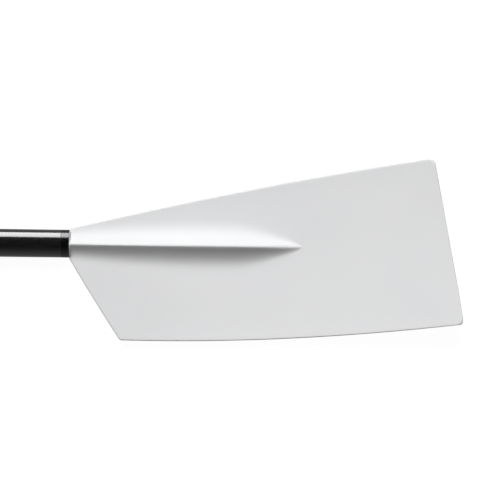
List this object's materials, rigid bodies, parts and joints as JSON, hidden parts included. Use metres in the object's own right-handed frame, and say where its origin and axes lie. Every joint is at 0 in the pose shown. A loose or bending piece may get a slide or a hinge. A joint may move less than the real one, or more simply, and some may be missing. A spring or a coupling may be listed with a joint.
{
  "type": "sculling oar",
  "caption": "Starboard sculling oar: broad hatchet blade with a ridge on its face, tapered dark shaft, D-section oarlock sleeve, split sliding collar and telescoping handle.",
  "frame": {"origin": "on the shaft's axis at the collar's outboard face, with the collar at its middle setting", "axes": "+X along the shaft towards the blade, +Y towards the blade's upper edge, +Z out of the blade's ridged face"},
  "size_m": [2.8801, 0.2164, 0.076],
  "materials": {
    "blade_gelcoat": "satin",
    "core_foam": "matte",
    "carbon_laminate": "satin",
    "ring_black": "matte",
    "plug_foam": "matte",
    "sleeve_plastic": "satin",
    "wear_plastic": "satin",
    "collar_plastic": "satin",
    "stainless": "satin",
    "bush_plastic": "satin",
    "clamp_metal": "satin",
    "grip_rubber": "matte",
    "cap_rubber": "satin",
    "seal_rubber": "satin"
  },
  "bodies": {
    "oar": {"shaft_tube": "carbon_laminate", "blade_face_skin": "blade_gelcoat", "blade_back_skin": "blade_gelcoat", "blade_core": "core_foam", "blade_spigot": "carbon_laminate", "neck_ring": "ring_black", "outboard_bulkhead": "plug_foam", "inboard_bulkhead": "plug_foam", "sleeve": "sleeve_plastic", "wear_plate": "wear_plastic", "wear_plate_screws": "stainless", "handle_bush": "bush_plastic", "clamp_ring": "clamp_metal", "clamp_nut": "stainless"},
    "handle": {"handle_tube": "carbon_laminate", "grip": "grip_rubber", "end_cap": "cap_rubber", "handle_plug": "plug_foam", "handle_seal": "seal_rubber"},
    "collar": {"collar_body": "collar_plastic", "collar_nuts": "stainless"},
    "collar_washer_outer": {"collar_washer_outer": "stainless"},
    "collar_screw_outer": {"collar_screw_outer": "stainless"},
    "collar_washer_inner": {"collar_washer_inner": "stainless"},
    "collar_screw_inner": {"collar_screw_inner": "stainless"},
    "clamp_washer": {"clamp_washer": "stainless"},
    "clamp_screw": {"clamp_screw": "stainless"}
  },
  "joints": [
    {"name": "handle_length", "type": "slide", "parent": "oar", "child": "handle", "axis": [-1, 0, 0], "range_m": [-0.025, 0.025]},
    {"name": "collar_position", "type": "slide", "parent": "oar", "child": "collar", "axis": [1, 0, 0], "range_m": [-0.02, 0.02]},
    {"name": "collar_screw_outer_travel", "type": "slide", "parent": "collar", "child": "collar_washer_outer", "axis": [0, 1, 0], "range_m": [0, 0.0024]},
    {"name": "collar_screw_outer_turn", "type": "hinge", "parent": "collar_washer_outer", "child": "collar_screw_outer", "pos_m": [-0.012, 0, 0.0345], "axis": [0, 1, 0], "range_deg": [0, 1080]},
    {"name": "collar_screw_inner_travel", "type": "slide", "parent": "collar", "child": "collar_washer_inner", "axis": [0, 1, 0], "range_m": [0, 0.0024]},
    {"name": "collar_screw_inner_turn", "type": "hinge", "parent": "collar_washer_inner", "child": "collar_screw_inner", "pos_m": [-0.024, 0, 0.0345], "axis": [0, 1, 0], "range_deg": [0, 1080]},
    {"name": "clamp_screw_travel", "type": "slide", "parent": "oar", "child": "clamp_washer", "axis": [0, 1, 0], "range_m": [0, 0.0021]},
    {"name": "clamp_screw_turn", "type": "hinge", "parent": "clamp_washer", "child": "clamp_screw", "pos_m": [-0.63, 0, 0.026], "axis": [0, 1, 0], "range_deg": [0, 1080]}
  ],
  "couplings": [
    {"joint": "collar_screw_outer_turn", "follows": "collar_screw_outer_travel", "rad_per_m": 7854},
    {"joint": "collar_screw_inner_turn", "follows": "collar_screw_inner_travel", "rad_per_m": 7854},
    {"joint": "clamp_screw_turn", "follows": "clamp_screw_travel", "rad_per_m": 8976}
  ]
}
